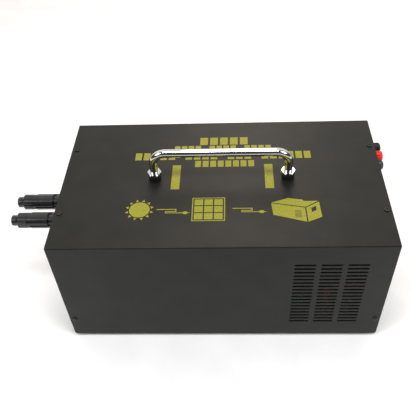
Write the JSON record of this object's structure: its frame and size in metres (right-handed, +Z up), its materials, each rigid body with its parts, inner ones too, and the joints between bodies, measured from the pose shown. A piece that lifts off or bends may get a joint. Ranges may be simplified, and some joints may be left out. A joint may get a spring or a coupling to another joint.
{
  "type": "solar inverter",
  "caption": "Portable off-grid solar inverter box with chrome carrying handle, side vents, solar plugs at one end and battery posts, display, outlets and switch at the other.",
  "frame": {"origin": "centre of the overall footprint, plugs and knobs included, on the surface the feet stand on", "axes": "+X towards the battery posts, +Y towards the rear wall, +Z up"},
  "size_m": [0.4766, 0.2232, 0.22],
  "materials": {
    "case_paint": "matte fine-texture powder coat",
    "screw_black": "black oxide",
    "zinc_steel": "bright zinc plate",
    "foot_rubber": "moulded, matt",
    "handle_chrome": "polished chrome plate",
    "bush_plastic": "moulded",
    "connector_plastic": "glass-filled, slightly glossy",
    "seal_rubber": "soft",
    "contact_copper": "tin plated",
    "stud_brass": "turned",
    "washer_nickel": "nickel plate",
    "bar_copper": "tinned copper strip",
    "knob_black": "moulded",
    "knob_red": "moulded",
    "knob_steel": "turned steel, dark zinc plating",
    "fan_plastic": "moulded",
    "guard_chrome": "bright plated wire",
    "panel_plastic": "moulded",
    "rocker_plastic": "moulded",
    "window_clear": "clear, glossy",
    "board_green": "solder mask",
    "standoff_brass": "turned",
    "sink_aluminium": "extruded, natural",
    "transistor_epoxy": "moulded epoxy",
    "core_ferrite": "sintered",
    "winding_tape": "polyester tape",
    "capacitor_sleeve": "shrink sleeve",
    "block_nylon": "natural nylon",
    "wire_blue": "extruded insulation",
    "wire_red": "extruded insulation",
    "wire_black": "extruded insulation",
    "print_ink": "screen-printed ink"
  },
  "bodies": {
    "case": {"base_tray": "case_paint", "board_screws": "zinc_steel", "board_standoffs": "standoff_brass", "bus_bars": "bar_copper", "bus_capacitors": "capacitor_sleeve", "case_screws": "screw_black", "cover": "case_paint", "display_bezel": "panel_plastic", "display_board": "board_green", "display_window": "window_clear", "fan_frames": "fan_plastic", "fan_guards": "guard_chrome", "fan_screws": "screw_black", "foot_screws": "zinc_steel", "handle": "handle_chrome", "handle_bushes": "bush_plastic", "handle_hex_nuts": "handle_chrome", "handle_lock_nuts": "zinc_steel", "handle_washers": "zinc_steel", "heat_sinks": "sink_aluminium", "left_panel": "case_paint", "live_wires": "wire_red", "main_board": "board_green", "neutral_wire": "wire_blue", "outlet_screws": "screw_black", "outlets": "panel_plastic", "post_bushes": "bush_plastic", "post_nuts": "zinc_steel", "post_studs": "stud_brass", "power_switch_body": "panel_plastic", "power_transistors": "transistor_epoxy", "right_panel": "case_paint", "rubber_feet": "foot_rubber", "solar_inlet_nuts": "connector_plastic", "solar_inlet_pins": "contact_copper", "solar_inlets": "connector_plastic", "solar_wires": "wire_black", "terminal_block": "block_nylon", "transformer_cores": "core_ferrite", "transformer_windings": "winding_tape"},
    "plug_front": {"solar_plug_front": "connector_plastic", "cable_seal_front": "seal_rubber", "plug_contact_front": "contact_copper"},
    "gland_front": {"gland_nut_front": "connector_plastic"},
    "plug_rear": {"solar_plug_rear": "connector_plastic", "cable_seal_rear": "seal_rubber", "plug_contact_rear": "contact_copper"},
    "gland_rear": {"gland_nut_rear": "connector_plastic"},
    "rotor_front": {"fan_rotor_front": "fan_plastic"},
    "rotor_rear": {"fan_rotor_rear": "fan_plastic"},
    "rocker": {"power_switch_rocker": "rocker_plastic"},
    "button_down": {"button_down": "panel_plastic"},
    "button_up": {"button_up": "panel_plastic"},
    "button_enter": {"button_enter": "panel_plastic"},
    "washer_negative": {"post_washer_negative": "washer_nickel"},
    "knob_negative": {"knob_negative": "knob_black"},
    "washer_positive": {"post_washer_positive": "washer_nickel"},
    "knob_positive": {"knob_positive": "knob_red"},
    "washer_earth": {"post_washer_earth": "washer_nickel"},
    "knob_earth": {"knob_earth": "knob_steel"}
  },
  "joints": [
    {"name": "plug_front_pull", "type": "slide", "parent": "case", "child": "plug_front", "axis": [-1, 0, 0], "range_m": [0, 0.045]},
    {"name": "gland_front_turn", "type": "hinge", "parent": "plug_front", "child": "gland_front", "pos_m": [-0.21825, -0.0244, 0.13], "axis": [-1, 0, 0], "continuous": true},
    {"name": "plug_rear_pull", "type": "slide", "parent": "case", "child": "plug_rear", "axis": [-1, 0, 0], "range_m": [0, 0.045]},
    {"name": "gland_rear_turn", "type": "hinge", "parent": "plug_rear", "child": "gland_rear", "pos_m": [-0.21825, 0.008, 0.13], "axis": [-1, 0, 0], "continuous": true},
    {"name": "fan_front_spin", "type": "hinge", "parent": "case", "child": "rotor_front", "pos_m": [-0.14175, -0.044, 0.06], "axis": [-1, 0, 0], "continuous": true},
    {"name": "fan_rear_spin", "type": "hinge", "parent": "case", "child": "rotor_rear", "pos_m": [-0.14175, 0.044, 0.06], "axis": [-1, 0, 0], "continuous": true},
    {"name": "power_switch_tilt", "type": "hinge", "parent": "case", "child": "rocker", "pos_m": [0.21575, 0.045, 0.067], "axis": [0, -1, 0], "range_deg": [0, 20]},
    {"name": "button_down_press", "type": "slide", "parent": "case", "child": "button_down", "axis": [-1, 0, 0], "range_m": [0, 0.001], "stiffness_N_per_m": 500, "springref_m": -0.001},
    {"name": "button_up_press", "type": "slide", "parent": "case", "child": "button_up", "axis": [-1, 0, 0], "range_m": [0, 0.001], "stiffness_N_per_m": 500, "springref_m": -0.001},
    {"name": "button_enter_press", "type": "slide", "parent": "case", "child": "button_enter", "axis": [-1, 0, 0], "range_m": [0, 0.001], "stiffness_N_per_m": 500, "springref_m": -0.001},
    {"name": "washer_negative_lift", "type": "slide", "parent": "case", "child": "washer_negative", "axis": [1, 0, 0], "range_m": [0, 0.005]},
    {"name": "knob_negative_turn", "type": "hinge", "parent": "washer_negative", "child": "knob_negative", "pos_m": [0.22175, 0.097, 0.136], "axis": [1, 0, 0], "range_deg": [0, 1800]},
    {"name": "washer_positive_lift", "type": "slide", "parent": "case", "child": "washer_positive", "axis": [1, 0, 0], "range_m": [0, 0.005]},
    {"name": "knob_positive_turn", "type": "hinge", "parent": "washer_positive", "child": "knob_positive", "pos_m": [0.22175, 0.08, 0.136], "axis": [1, 0, 0], "range_deg": [0, 1800]},
    {"name": "washer_earth_lift", "type": "slide", "parent": "case", "child": "washer_earth", "axis": [1, 0, 0], "range_m": [0, 0.005]},
    {"name": "knob_earth_turn", "type": "hinge", "parent": "washer_earth", "child": "knob_earth", "pos_m": [0.22175, 0.063, 0.136], "axis": [1, 0, 0], "range_deg": [0, 1800]}
  ],
  "couplings": [
    {"joint": "washer_negative_lift", "follows": "knob_negative_turn", "m_per_rad": 0.000159},
    {"joint": "washer_positive_lift", "follows": "knob_positive_turn", "m_per_rad": 0.000159},
    {"joint": "washer_earth_lift", "follows": "knob_earth_turn", "m_per_rad": 0.000159}
  ]
}
